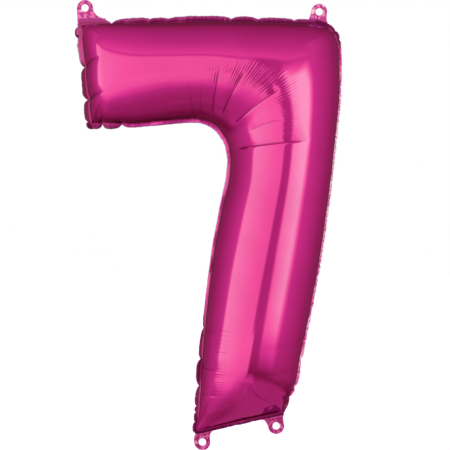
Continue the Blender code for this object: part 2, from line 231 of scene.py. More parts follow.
NECK_TUCK = 0.0028  # how far its films run on between the hem's films
NECK_ROUND = 0.0012  # length on each side of its fold that is rounded
NECK_FILM = 0.0003
NECK_PUFF = 0.0036  # how far its outer film stands off the valve in the middle
NECK_LIFT = 0.0005  # how much further out the hem lies over the valve
NECK_LIFT_HALF = 0.0095  # half height of the stretch that does
SIDE_WELD_ENDS = (-0.1758, -0.0660)  # along x
SIDE_WELD_Z = 0.6213
SIDE_WELD_HALF = 0.0008
SIDE_WELD_THICKNESS = 0.0002


# ---- small helpers
def smoothstep(low, high, x):
    """0 at low, 1 at high, level at both. Falls where high is below low."""
    t = np.clip((x - low) / (high - low), 0.0, 1.0)
    return t * t * (3.0 - 2.0 * t)


def catmull_rom(values, t):
    """Smooth curve through values at places t, where value k is at k."""
    last = len(values) - 1
    i = np.clip(t.astype(int), 0, last - 1)
    f = (t - i).reshape((-1,) + (1,) * (values.ndim - 1))
    padded = np.concatenate([[2 * values[0] - values[1]], values, [2 * values[-1] - values[-2]]])
    p0, p1, p2, p3 = padded[i], padded[i + 1], padded[i + 2], padded[i + 3]
    slope, bend, twist = p2 - p0, 2 * p0 - 5 * p1 + 4 * p2 - p3, 3 * p1 - p0 - 3 * p2 + p3
    return 0.5 * (2 * p1 + slope * f + bend * f**2 + twist * f**3)


def wave(x, pitch, seed):
    """Smooth noise along x between about -1 and 1, with a random value at every pitch."""
    t = (x - x.min()) / pitch
    values = np.random.default_rng(seed).uniform(-1, 1, int(t.max()) + 3)
    return catmull_rom(values, t)


def unit(vectors):
    """The vectors at length 1."""
    return vectors / np.maximum(np.linalg.norm(vectors, axis=-1, keepdims=True), 1e-12)


def blur(values, radius):
    """Gaussian blur of a grid along both its directions."""
    kernel = np.exp(-0.5 * (np.arange(-3 * radius, 3 * radius + 1) / radius) ** 2)
    kernel /= kernel.sum()
    for axis in (0, 1):
        pad = [(3 * radius, 3 * radius) if a == axis else (0, 0) for a in range(values.ndim)]
        padded = np.pad(values, pad, mode="reflect", reflect_type="odd")
        values = np.apply_along_axis(lambda line: np.convolve(line, kernel, mode="valid"), axis, padded)
    return values


def circle(count):
    """Points evenly round the unit circle."""
    angle = np.linspace(0, 2 * math.pi, count + 1)[:-1]
    return np.stack([np.cos(angle), np.sin(angle)], axis=1)


def grid_ids(grid):
    """The numbers of a grid's points, row by row."""
    return np.arange(grid.shape[0] * grid.shape[1]).reshape(grid.shape[:2])


def quads(ids, closed=False):
    """Faces of a grid of point numbers. In a closed grid the last column joins the first."""
    if closed:
        ids = np.hstack([ids, ids[:, :1]])
    corners = ids[:-1, :-1], ids[1:, :-1], ids[1:, 1:], ids[:-1, 1:]
    return np.stack(corners, axis=-1).reshape(-1, 4)


# ---- tube
RIB_VALUES = np.array([(*outer, *inner, depth) for outer, inner, depth in RIBS])
SPINE_T = np.linspace(0, len(RIBS) - 1, 1200)
SPINE = catmull_rom(RIB_VALUES, SPINE_T)
SPINE_STEPS = np.linalg.norm(np.diff((SPINE[:, 0:2] + SPINE[:, 2:4]) / 2, axis=0), axis=1)
SPINE_S = np.concatenate([[0.0], np.cumsum(SPINE_STEPS)])
TUBE = SPINE_S[-1]  # length of the tube


def ribs_at(s):
    """Outer point, inner point and half depth of the ribs at lengths s along the tube's middle line."""
    r = catmull_rom(RIB_VALUES, np.interp(s, SPINE_S, SPINE_T))
    return r[:, 0:2], r[:, 2:4], r[:, 4]


def swell(s, v):
    """Share of its full depth that the tube has: 0 at its ends, and less beside the left end's corners."""
    corner = np.abs(2 * v - 1)[None, :] ** 3

    def rounded(distance, length, power, late):
        near = 1 - np.clip(distance[:, None] / (length * (1 + late * corner)), 0, 1)
        return (1 - near**power) ** (1 / power)

    def cone(distance, length, bend):
        x = distance[:, None] / length
        return x / (1 + x**bend) ** (1 / bend)

    slack = 1 - LEFT_SLACK[0] * np.exp(-s / LEFT_SLACK[1])
    return rounded(s, *LEFT_END) * cone(TUBE - s, *LOWER_END) * slack[:, None]


def tube_surface(s, v):
    """Front half of the tube at lengths s and shares v across it (0 inner weld, 1 outer weld)."""
    outer, inner, depth = ribs_at(s)
    across = -np.cos(np.pi * v)[None, :, None] / 2
    plan = ((outer + inner) / 2)[:, None, :] + (outer - inner)[:, None, :] * across
    place, power = np.array(SQUARENESS).T
    power = np.interp(s[:, None], place, power)
    section = np.maximum(1 - np.abs(2 * across[..., 0]) ** power, 0) ** (1 / power)
    y = -depth[:, None] * swell(s, v) * section
    return np.stack([plan[..., 0], y, plan[..., 1]], axis=-1)


def spaced_rows(pitch, zones):
    """Lengths along the tube at a pitch, closer together in the zones, and the row index as a function."""
    q = np.linspace(0, TUBE, 4001)
    density = np.full_like(q, 1 / pitch)
    for middle, half, fine in zones:
        density += (1 / fine - 1 / pitch) * np.exp(-(((q - middle) / half) ** 6))
    total = np.concatenate([[0.0], np.cumsum((density[1:] + density[:-1]) / 2 * np.diff(q))])
    count = int(total[-1])
    index = total / total[-1] * (count - 1)
    return np.interp(np.arange(count), index, q), lambda s: np.interp(s, q, index)


# ---- cloth: the flat film blown up
def flat_film(s, v, points):
    """The same grid on the flat film: full width to its ends, and a smaller turn at the corner."""
    outer, inner, depth = ribs_at(s)
    half = np.linalg.norm(outer - inner, axis=1) / 2
    angle = np.linspace(0, np.pi, 60)
    rim = np.stack([half[:, None] * np.cos(angle), depth[:, None] * np.sin(angle)], axis=-1)
    width = np.linalg.norm(np.diff(rim, axis=1), axis=2).sum(axis=1)
    crown = points[:, len(v) // 2]
    steps = np.linalg.norm(np.diff(crown, axis=0), axis=1)
    turn = np.unwrap(np.arctan2((outer - inner)[:, 1], (outer - inner)[:, 0]))
    turn = turn[0] + (turn - turn[0]) * FLAT_TURN
    rib = np.stack([np.cos(turn), np.sin(turn)], axis=1)
    middle = (turn[1:] + turn[:-1]) / 2
    travel = np.stack([np.sin(middle), -np.cos(middle)], axis=1)
    centre = np.vstack([[0.0, 0.0], np.cumsum(travel * steps[:, None], axis=0)])
    lengths = np.linalg.norm(np.diff(points, axis=1), axis=2)
    share = np.concatenate([np.zeros((len(s), 1)), np.cumsum(lengths, axis=1)], axis=1)
    share = share / share[:, -1:] - 0.5
    plan = centre[:, None, :] + rib[:, None, :] * (share * width[:, None])[..., None]
    return np.stack([plan[..., 0], np.zeros(share.shape), plan[..., 1]], axis=-1)


def blow_up(s, v):
    """Cloth run of the front film under pressure, held along its weld. Returns how far each point moved."""
    start = tube_surface(s, v)
    flat = flat_film(s, v, start)
    ids = grid_ids(start)
    mesh = bpy.data.meshes.new("film_cloth")
    mesh.from_pydata((start.reshape(-1, 3) * CLOTH_SCALE).tolist(), [], quads(ids).tolist())
    cloth = bpy.data.objects.new("film_cloth", mesh)
    scene.collection.objects.link(cloth)
    cloth.shape_key_add(name="blown_up")
    rest = cloth.shape_key_add(name="flat")
    rest.data.foreach_set("co", (flat * CLOTH_SCALE).astype(np.float32).ravel())
    rest.value = 0.0
    held = np.ones(ids.shape, bool)
    held[1:-1, 1:-1] = False
    pin = cloth.vertex_groups.new(name="weld")
    pin.add([int(i) for i in ids[held]], 1.0, "REPLACE")
    bpy.context.view_layer.objects.active = cloth
    run = cloth.modifiers.new("blow_up", "CLOTH")
    for name, value in CLOTH_SETTINGS.items():
        setattr(run.settings, name, value)
    run.settings.rest_shape_key = rest
    run.settings.vertex_group_mass = pin.name
    run.settings.effector_weights.gravity = 0
    run.collision_settings.use_collision = False
    run.collision_settings.use_self_collision = False
    run.point_cache.frame_start = 1
    run.point_cache.frame_end = CLOTH_FRAMES
    for number in range(1, CLOTH_FRAMES + 1):
        scene.frame_set(number)
    result = cloth.evaluated_get(bpy.context.evaluated_depsgraph_get()).data
    points = np.empty(len(result.vertices) * 3, np.float32)
    result.vertices.foreach_get("co", points)
    bpy.data.objects.remove(cloth)
    bpy.data.meshes.remove(mesh)
    scene.frame_set(1)
    moved = points.reshape(start.shape).astype(float) / CLOTH_SCALE - start
    length = np.linalg.norm(moved, axis=-1, keepdims=True)
    return moved * np.minimum(1, DRIFT_LIMIT / np.maximum(length, 1e-9))


# ---- folds and ridges
def crease_path(path, samples=40):
    """Length along the tube and share across it at even steps along a crease."""
    return catmull_rom(np.array(path), np.linspace(0, len(path) - 1, samples))


def surface_at(points, index_of, place):
    """Points of the fine grid at (length, share) pairs, between its rows and columns."""
    rows = index_of(place[:, 0])
    columns = place[:, 1] * (points.shape[1] - 1)
    i = np.clip(rows.astype(int), 0, points.shape[0] - 2)
    j = np.clip(columns.astype(int), 0, points.shape[1] - 2)
    a, b = (rows - i)[:, None], (columns - j)[:, None]
    near, far = (points[k, j] * (1 - b) + points[k, j + 1] * b for k in (i, i + 1))
    return near * (1 - a) + far * a


def crease_height(points, normals, index_of, path, sharp, hollow, width, tilt, fades, dark):
    """A fold with a sharp bottom in a wide hollow, a little higher on one side, and the painted shade along
    its bottom.
    """
    line = surface_at(points, index_of, crease_path(path))
    away = np.full(points.shape[:2], 1.0)
    along = np.zeros(points.shape[:2])
    side = np.zeros(points.shape[:2])
    for k, (a, b) in enumerate(zip(line[:-1], line[1:])):
        run = b - a
        offset = points - a
        f = np.clip((offset @ run) / max(run @ run, 1e-12), 0, 1)
        d = np.linalg.norm(offset - f[..., None] * run, axis=-1)
        nearer = d < away
        away[nearer] = d[nearer]
        along[nearer] = ((k + f) / (len(line) - 1))[nearer]
        across = (np.cross(run, normals[nearer]) * offset[nearer]).sum(axis=-1)
        side[nearer] = across / max(np.linalg.norm(run), 1e-12)
    strength = smoothstep(0, fades[0], along) * (1 - smoothstep(1 - fades[1], 1.0, along))
    rounded = np.sqrt(away**2 + ROUND**2)
    fold = -sharp * np.exp(-rounded / SHARP) - hollow * np.exp(-rounded / width)
    height = fold + tilt * np.tanh(side / TILT_WIDTH) * np.exp(-away / width)
    return strength * height, strength * dark * np.exp(-((away / CREASE_LINE) ** 2))


def ridge_height(s, v, first, second, number, height, fades, seed):
    """Fine ridges with sharp valleys that fan out between two creases."""
    a, b = crease_path(first), crease_path(second)
    v0, v1, v2, v3 = fades

    def length_at(path):
        """The path's length along the tube at each share, running straight on past its ends."""
        lengths, shares = path.T
        slope = np.polyfit(shares, lengths, 1)[0]
        past = v - np.clip(v, shares.min(), shares.max())
        return np.interp(v, shares, lengths) + slope * past

    low, high = length_at(a)[None, :], length_at(b)[None, :]
    f = (s[:, None] - low) / (high - low)
    inside = (f > 0) & (f < 1)
    rng = np.random.default_rng(seed)
    knots = np.linspace(0, 1, number + 1)
    knots[1:-1] += rng.uniform(-0.22, 0.22, number - 1) / number
    phase = np.interp(f, knots, np.arange(number + 1))
    which = np.clip(phase.astype(int), 0, number - 1)
    strong = rng.uniform(0.5, 1.15, number)[which]
    start = rng.uniform(-0.035, 0.035, number)[which]
    end = rng.uniform(-0.02, 0.02, number)[which]
    shown = smoothstep(v0, v1, v[None, :] + start) * (1 - smoothstep(v2, v3, v[None, :] + end))
    return np.where(inside, height * strong * shown * (np.abs(np.sin(np.pi * phase)) ** 0.7 - 0.55), 0.0)


def band_height(s, v, start, end, low, high, pitch, height, seed):
    """Fine even ridges across a patch of the film."""
    phase = s[:, None] / pitch + 0.25 * wave(s, 0.012, seed)[:, None]
    shown = smoothstep(start, start + 0.008, s)[:, None] * (1 - smoothstep(end - 0.008, end, s))[:, None]
    across = smoothstep(low, low + 0.05, v)[None, :] * (1 - smoothstep(high - 0.05, high, v))[None, :]
    return height * shown * across * np.sin(2 * np.pi * phase)


def grid_normals(points):
    """Outward normals of the front film's grid."""
    along = np.gradient(points, axis=0)
    across = np.gradient(points, axis=1)
    normals = unit(np.cross(along, across))
    return normals * np.where(normals[len(points) // 2, points.shape[1] // 2, 1] < 0, 1.0, -1.0)


# ---- films
SIM_ROWS, SIM_INDEX = spaced_rows(SIM_PITCH, SIM_ZONES)
FILM_ROWS, FILM_INDEX = spaced_rows(FINE_PITCH, FINE_ZONES)
SIM_SHARES = np.linspace(0, 1, SIM_COLUMNS)
FILM_SHARES = np.linspace(0, 1, FINE_COLUMNS)


def inflated_film():
    """The front film's grid between its welds: the drawn tube, moved as the cloth run says."""
    points = tube_surface(FILM_ROWS, FILM_SHARES)
    moved = blur(blow_up(SIM_ROWS, SIM_SHARES), 2)
    moved = catmull_rom(moved, SIM_INDEX(FILM_ROWS))
    moved = catmull_rom(moved.swapaxes(0, 1), FILM_SHARES * (SIM_COLUMNS - 1)).swapaxes(0, 1)
    moved *= smoothstep(*DRIFT_START, TUBE - FILM_ROWS)[:, None, None]
    moved[0] = 0
    moved[:, [0, -1]] = 0
    return points + moved


def folded_film(smooth, seed):
    """The smooth film with its creases and ridges, and the painted shade of each point at a crease's bottom,
    in a ridge's valley or beside a weld.
    """
    s, v = FILM_ROWS, FILM_SHARES
    height = np.zeros(smooth.shape[:2])
    normals = grid_normals(smooth)
    dark = np.zeros(smooth.shape[:2])
    for crease in CREASES:
        fold, line = crease_height(smooth, normals, FILM_INDEX, *crease)
        height += fold
        dark = np.maximum(dark, line)
    ridges = [(size, ridge_height(s, v, CREASES[first][0], CREASES[second][0], number, size, fades, seed + k))
              for k, (first, second, number, size, fades) in enumerate(RIDGES)]
    ridges += [(size, band_height(s, v, start, end, low, high, pitch, size, seed + 20 + k))
               for k, (start, end, low, high, pitch, size) in enumerate(LOWER_RIDGES)]
    for size, ridge in ridges:
        height += ridge
        dark = np.maximum(dark, VALLEY_DARK * np.clip(-ridge / size, 0, 1) ** 2)
    side, end = np.minimum(v, 1 - v)[None, :], np.minimum(s, TUBE - s)[:, None]
    inside = smoothstep(0, FOLD_FADE[0], side) * smoothstep(0, FOLD_FADE[1], end)
    to_weld = np.minimum(side * FRONT_WIDTH, end)
    dark = np.maximum(dark, WELD_DARK * np.exp(-((to_weld / WELD_LINE) ** 2)))
    return smooth + normals * (height * inside)[..., None], dark


def side_normals(curve, away_from):
    """Plan normals of a weld line that point away from the tube."""
    tangent = unit(np.gradient(curve[:, [0, 2]], axis=0))
    normal = np.stack([tangent[:, 1], -tangent[:, 0]], axis=1)
    outward = (curve - away_from)[:, [0, 2]]
    return normal * np.sign((normal * outward).sum(axis=1, keepdims=True))


def calm_near_tabs(curve):
    """0 beside a tab's root or the neck, where the hem lies flat, and 1 away from them."""
    plan = curve[:, [0, 2]]
    calm = np.ones(len(curve))
    for _, root, _, _, left, right in TABS:
        calm *= smoothstep(*TAB_CALM, np.linalg.norm(plan - np.array(root), axis=1) - max(left, right))
    return calm * smoothstep(*NECK_CALM, np.linalg.norm(plan - np.array(NECK_ROOT), axis=1))


def notch_index(side, place, count):
    """Index of a pucker on its weld line."""
    if side in ("inner", "outer"):
        k = FILM_INDEX(place)
    else:
        k = math.acos(1 - 2 * place) / math.pi * (count - 1)
    return min(max(int(round(float(k))), 1), count - 2)


def hem_side(name, curve, away_from, seed):
    """Outward normals, widths and tilt to the front of the hem along one weld line."""
    length = np.concatenate([[0.0], np.cumsum(np.linalg.norm(np.diff(curve, axis=0), axis=1))])
    tilt, long_wave, crinkle = HEM_WAVES[name]
    calm = calm_near_tabs(curve)
    shares, widths = np.array(HEM_WIDTHS[name]).T
    lift = tilt + long_wave * wave(length, WAVE_PITCH, seed) + crinkle * wave(length, CRINKLE_PITCH, seed + 1)
    width = np.interp(length / length[-1], shares, widths)
    width *= (1 + HEM_UNEVEN[0] * wave(length, WAVE_PITCH, seed + 2)
              + HEM_UNEVEN[1] * wave(length, CRINKLE_PITCH, seed + 3))
    for place, _, cut, reach in NOTCHES[name]:
        width -= cut * np.exp(-np.abs(length - length[notch_index(name, place, len(curve))]) / reach)
    return side_normals(curve, away_from), np.maximum(width, HEM_LEAST), lift * calm


def weld_lines(film):
    """The weld line of each side, and the points inside the tube that it points away from."""
    rows, columns = film.shape[:2]
    middle = columns // 2
    return {
        "inner": (film[:, 0], film[:, middle]),
        "outer": (film[:, -1], film[:, middle]),
        "left": (film[0], np.repeat(film[rows // 20, middle][None], columns, axis=0)),
        "lower": (film[-1], np.repeat(film[-rows // 20, middle][None], columns, axis=0)),
    }


def hemmed(film):
    """The film's grid with its hem all round: its points, the hem's tilt to the back, the share of its ply
    that it stands off the seam plane, and the share of the way out into the hem."""
    k = len(HEM_STEPS)
    rows, columns = film.shape[:2]
    steps = np.array(HEM_STEPS)
    out_s, out_v = (np.concatenate([-steps[::-1], np.zeros(count), steps]) for count in (rows, columns))
    i = np.clip(np.arange(rows + 2 * k) - k, 0, rows - 1)
    j = np.clip(np.arange(columns + 2 * k) - k, 0, columns - 1)
    inner, outer, left, lower = (
        hem_side(side, *line, seed) for (side, line), seed in zip(weld_lines(film).items(), HEM_SEEDS))
    ts, tv = np.abs(out_s)[:, None], np.abs(out_v)[None, :]
    at_low = (out_s > 0)[:, None]
    at_outer = (out_v > 0)[None, :]

    def pick(part):
        """Normals (0), widths (1) or tilts (2) of the hem at the ends and at the sides, over the grid."""
        low, far = (at_low[..., None], at_outer[..., None]) if part == 0 else (at_low, at_outer)
        ends = np.where(low, lower[part][j][None], left[part][j][None])
        return ends, np.where(far, outer[part][i][:, None], inner[part][i][:, None])

    (normal_e, normal_s), (width_e, width_s), (lift_e, lift_s) = (pick(part) for part in range(3))
    amount_e = ts * np.sqrt(1 - tv**2 / 2) * width_e
    amount_s = tv * np.sqrt(1 - ts**2 / 2) * width_s
    points = film[i][:, j].copy()
    plan = normal_e * amount_e[..., None] + normal_s * amount_s[..., None]
    points[..., 0] += plan[..., 0]
    points[..., 2] += plan[..., 1]
    lift = -(lift_e * ts * (1 - tv) + lift_s * tv * (1 - ts))
    lip_s, lip_v = (np.concatenate([HEM_LIPS[::-1], np.ones(count), HEM_LIPS]) for count in (rows, columns))
    lip = np.minimum(lip_s[:, None], lip_v[None, :])
    return points, lift, lip, np.maximum(ts, tv)


def pull_in(points, film):
    """Draws the seam and the film beside it inward at the puckers."""
    plan = points[..., [0, 2]]
    moved = np.zeros_like(plan)
    for name, (curve, away_from) in weld_lines(film).items():
        outward = side_normals(curve, away_from)
        for place, pull, _, width in NOTCHES[name]:
            k = notch_index(name, place, len(curve))
            inward = -outward[k]
            tangent = np.array([inward[1], -inward[0]])
            offset = plan - curve[k, [0, 2]]
            along = np.abs(offset @ tangent)
            depth = offset @ inward
            fade = np.exp(-((np.maximum(depth, 0) / PUCKER_REACH) ** 2)) * (depth > -0.012)
            moved += inward * (pull * np.exp(-along / width) * fade)[..., None]
    points[..., 0] += moved[..., 0]
    points[..., 2] += moved[..., 1]


def hem_shade(points, out):
    """Painted shade of the hem, up to 1 where it lies in the tube's dark reflection, and painted pale glints
    of its crinkles, down to -1.
    """
    x, z = points[..., 0], points[..., 2]
    top = smoothstep(0.610, 0.622, z) * (1 - smoothstep(0.150, 0.175, x))
    top *= (0.85 + 0.15 * smoothstep(-0.165, -0.135, x)) * (1 - 0.55 * smoothstep(0.30, 0.95, out))
    corner = smoothstep(0.145, 0.160, x) * smoothstep(0.575, 0.600, z)
    end = smoothstep(-0.160, -0.172, x) * smoothstep(0.625, 0.61, z)
    end *= 0.5 + 0.5 * smoothstep(0.574, 0.562, z)
    bend = smoothstep(0.10, 0.05, x) * smoothstep(0.24, 0.26, z) * smoothstep(0.60, 0.55, z)
    bend *= 0.10 + 0.70 * smoothstep(-0.110, -0.140, x)
    stem = smoothstep(0.240, 0.170, z) * smoothstep(0.060, 0.020, x)
    foot = 0.9 * smoothstep(0.085, 0.070, z)
    pale = smoothstep(0.110, 0.130, x) * smoothstep(0.060, 0.120, z) * smoothstep(0.580, 0.530, z)
    dark = np.maximum.reduce([top, corner, end, bend, stem, foot])
    return (dark - pale) * smoothstep(0.0, 0.12, out)


def make_mesh(name, points, faces):
    """A mesh shaded smooth, from points and faces."""
    mesh = bpy.data.meshes.new(name)
    mesh.from_pydata(points.tolist(), [], faces.tolist())
    mesh.validate()
    mesh.shade_smooth()
    return mesh


def add_piece(name, mesh, mat):
    """Puts a mesh in the scene with its material."""
    mesh.materials.append(mat)
    piece = bpy.data.objects.new(name, mesh)
    scene.collection.objects.link(piece)
    return piece


def make_film(name, smooth, side, seed, mat):
    """One foil film with its hem, its welds marked sharp. side is -1 for the front and 1 for the back."""
    film, dark = folded_film(smooth, seed)
    points, lift, lip, out = hemmed(film)
    pull_in(points, film)
    beside = np.exp(-(((points[..., 2] - NECK_ROOT[1]) / NECK_LIFT_HALF) ** 4))
    beside *= smoothstep(-0.150, -0.170, points[..., 0])
    points[..., 1] = -side * (points[..., 1] - (PLY + NECK_LIFT * beside) * lip) + lift
    ids = grid_ids(out)
    faces = quads(ids)
    mesh = make_mesh(name, points.reshape(-1, 3), faces if side < 0 else faces[:, ::-1])
    # painted shade of the hem, and painted pale glints on its crinkles, carried as the 'shade' attribute
    shade = hem_shade(points, out)
    k = len(HEM_STEPS)
    # painted shade of creases, ridge valleys and welds, carried as the 'fold' attribute
    fold = np.pad(dark, k, mode="edge") * (1 - smoothstep(0.0, 0.34, out))
    for attribute, values in (("rim", out), ("shade", shade), ("fold", fold)):
        layer = mesh.attributes.new(attribute, "FLOAT", "POINT")
        layer.data.foreach_set("value", values.ravel().astype(np.float32))
    welds = set()
    for line in (ids[k:-k, k], ids[k:-k, -k - 1], ids[k, k:-k], ids[-k - 1, k:-k]):
        welds.update(zip(line[:-1].tolist(), line[1:].tolist()))
    ends = np.empty(len(mesh.edges) * 2, np.int32)
    mesh.edges.foreach_get("vertices", ends)
    sharp = [(a, b) in welds or (b, a) in welds for a, b in ends.reshape(-1, 2).tolist()]
    mesh.attributes.new("sharp_edge", "BOOLEAN", "EDGE").data.foreach_set("value", sharp)
    return add_piece(name, mesh, mat)


# ---- tabs
def tab_side(root, reach, steps):
    """Right side of a tab from the tip's widest place down its flare, then on under the hem."""
    t = np.linspace(math.pi / 2, 0, steps)
    flare = np.stack([root - (root - TAB_TIP_R) * np.sin(t), reach * (1 - np.cos(t))], axis=1)
    tuck = np.stack([np.full(3, root), -TAB_TUCK * np.array([0.35, 0.7, 1.0])], axis=1)
    return np.vstack([flare, tuck])


def coons(top, bottom, left, right):
    """Grid between four edges that share their corners."""
    u = np.linspace(0, 1, len(top))[None, :, None]
    w = np.linspace(0, 1, len(left))[:, None, None]
    ruled = (1 - w) * top[None] + w * bottom[None] + (1 - u) * left[:, None] + u * right[:, None]
    corners = (1 - w) * ((1 - u) * top[0] + u * top[-1]) + w * ((1 - u) * bottom[0] + u * bottom[-1])
    return ruled - corners


def tab_sheet(left, right, reach):
    """Points (across, along) and faces of a tab's film with its hole."""
    around, radial, down = 48, 12, 30
    ring = circle(2 * around)
    rim = TAB_TIP_R * ring
    rim[ring[:, 1] < 0, 1] *= TAB_TIP_LOW / TAB_TIP_R
    t = np.linspace(0, 1, radial)[:, None, None]
    annulus = (1 - t) * TAB_HOLE_R * ring[None] + t * rim[None] + np.array([0, reach])
    ids = grid_ids(annulus)
    faces = [quads(ids, closed=True)]
    half = np.concatenate([np.arange(around, 2 * around), [0]])
    top = annulus[-1][half]
    side_right = tab_side(right, reach, down - 3)
    side_left = tab_side(left, reach, down - 3) * [-1, 1]
    bottom = np.linspace(side_left[-1], side_right[-1], len(top))
    patch = coons(top, bottom, side_left, side_right)
    lower = grid_ids(patch) + ids.size - patch.shape[1]
    lower[0] = ids[-1][half]
    faces.append(quads(lower))
    points = np.vstack([annulus.reshape(-1, 2), patch[1:].reshape(-1, 2)])
    return points, np.vstack(faces)


def crumple(points, centre, seed):
    """Heights of a crumpled sheet: flat facets between folds, most of which fan out from a centre."""
    rng = np.random.default_rng(seed)
    offset = points - centre
    angle = np.arctan2(offset[:, 1], offset[:, 0])
    distance = np.linalg.norm(offset, axis=1)

    def zigzag(t):
        return 2 * np.abs(2 * (t - np.floor(t + 0.5))) - 1

    def wavy(size, along, pitch):
        return size * np.sin(along / pitch + rng.uniform(0, 6))

    bend = wavy(0.10, distance, 0.004) + wavy(0.06, distance, 0.0017)
    height = CRUMPLE_FAN * zigzag(angle / 0.85 + bend + rng.uniform()) * smoothstep(0.002, 0.010, distance)
    for pitch, size in CRUMPLES:
        turn = rng.uniform(0, math.pi)
        line = points @ np.array([math.cos(turn), math.sin(turn)])
        wobble = wavy(0.18, points @ np.array([-math.sin(turn), math.cos(turn)]), 0.0032)
        height += size * zigzag(line / pitch + wobble + rng.uniform())
    return height


def finish_sheet(name, mesh, thickness, mat, thin_group=None):
    """Gives a sheet a smoothing step and its thickness, thinner where thin_group is low. Both are applied."""
    draft = bpy.data.objects.new("draft", mesh)
    scene.collection.objects.link(draft)
    smooth = draft.modifiers.new("smooth", "SUBSURF")
    smooth.levels = 1
    thick = draft.modifiers.new("thick", "SOLIDIFY")
    thick.thickness = thickness
    thick.offset = 0
    if thin_group is not None:
        group = draft.vertex_groups.new(name="thin")
        for index, weight in enumerate(thin_group):
            group.add([index], float(weight), "REPLACE")
        thick.vertex_group = group.name
        thick.thickness_vertex_group = TAB_THINNEST
    final = bpy.data.meshes.new_from_object(draft.evaluated_get(bpy.context.evaluated_depsgraph_get()))
    final.name = name
    bpy.data.objects.remove(draft)
    bpy.data.meshes.remove(mesh)
    return add_piece(name, final, mat)


def make_tab(name, root, direction, reach, left, right, seed, mat):
    """One hanging tab."""
    flat, faces = tab_sheet(left, right, reach)
    along = np.array([math.cos(math.radians(direction)), math.sin(math.radians(direction))])
    across = np.array([along[1], -along[0]])
    plan = np.array(root) + flat[:, :1] * across + flat[:, 1:] * along
    free = smoothstep(0.0, 0.007, flat[:, 1])
    y = crumple(flat, np.array([0.0, -0.004]), seed) * free
    points = np.stack([plan[:, 0], y, plan[:, 1]], axis=1)
    mesh = make_mesh(f"tab_{name}_sheet", points, faces)
    piece = finish_sheet(f"tab_{name}_foil", mesh, TAB_THICKNESS, mat, smoothstep(-0.001, 0.002, flat[:, 1]))
    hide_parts(*[f"tab_{name}_{part}" for part in ("front_film", "weld", "back_film")])
    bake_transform(piece)


# ---- filler neck
def neck_line(reach):
    """Point (x, y) and outward normal at a length along the neck's middle, which turns at its root."""
    root = np.array([NECK_ROOT[0], 0.0])
    along = np.array([-math.cos(NECK_FOLD), math.sin(NECK_FOLD)])
    outside = np.array([math.sin(NECK_FOLD), math.cos(NECK_FOLD)])
    behind = np.array([0.0, 1.0])
    if reach < -NECK_ROUND:
        return root + np.array([-reach, 0.0]), behind
    if reach > NECK_ROUND:
        return root + along * reach, outside
    f = (reach + NECK_ROUND) / (2 * NECK_ROUND)
    a, b = root + np.array([NECK_ROUND, 0.0]), root + along * NECK_ROUND
    return a * (1 - f) ** 2 + 2 * root * f * (1 - f) + b * f**2, unit(behind * (1 - f) + outside * f)


def make_neck(mat):
    """The two films of the neck round the valve's mouth, folded back behind the bar's end."""
    one_film = np.linspace(-1, 1, 15)
    h = np.concatenate([one_film, one_film[-2:0:-1]])
    side = np.concatenate([np.ones(15), -np.ones(13)])
    side[[0, 14]] = 0
    far = np.abs(h) * NECK_HALF - (NECK_HALF - NECK_CORNER)
    cut = NECK_CORNER - np.sqrt(np.maximum(NECK_CORNER**2 - np.maximum(far, 0) ** 2, 0))
    rows = []
    for t in np.linspace(0, 1, 28):
        length = -NECK_TUCK + t * (NECK_LENGTH + NECK_TUCK)
        ring = np.empty((len(h), 3))
        for k in range(len(h)):
            spot, normal = neck_line(min(length, NECK_LENGTH - cut[k]))
            puff = NECK_PUFF * math.sin(math.pi * t) ** 0.7 if side[k] < 0 and length > 0 else 0.0
            ply = PLY + (NECK_PLY - PLY + puff) * (1 - abs(h[k]) ** 4)
            spot = spot + normal * ply * side[k]
            ring[k] = (spot[0], spot[1], NECK_ROOT[1] + h[k] * NECK_HALF)
        rows.append(ring)
    points = np.array(rows)
    mesh = make_mesh("neck_sheet", points.reshape(-1, 3), quads(grid_ids(points), closed=True))
    piece = finish_sheet("filler_neck_foil", mesh, NECK_FILM, mat)
    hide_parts("neck_front_film", "neck_back_film")
    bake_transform(piece)


# ---- valve
def make_side_weld(mat):
    """The valve's upper side weld, narrower than the CAD model's, to clear the film when the flaps part."""
    x = np.linspace(*SIDE_WELD_ENDS, 120)
    up, forward = circle(12).T
    half = SIDE_WELD_HALF * (1 + 0.08 * wave(x, 0.004, 71))[:, None]
    thick = SIDE_WELD_THICKNESS / 2 * (1 + 0.15 * wave(x, 0.002, 72))[:, None]
    z = SIDE_WELD_Z + half * up
    points = np.stack([np.repeat(x[:, None], 12, axis=1), thick * forward, z], axis=-1)
    ids = grid_ids(z)
    sides = quads(ids, closed=True)
    k = np.arange(5)
    cap = np.stack([k, k + 1, 10 - k, 11 - k], axis=1)  # strips across a ring of 12 points
    mesh = make_mesh("side_weld", points.reshape(-1, 3), np.vstack([sides, cap[:, ::-1], ids[-1][cap]]))
    weld = add_piece("valve_side_weld_top", mesh, mat)
    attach(weld, "valve_back_flap")
    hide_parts("valve_side_weld_upper")


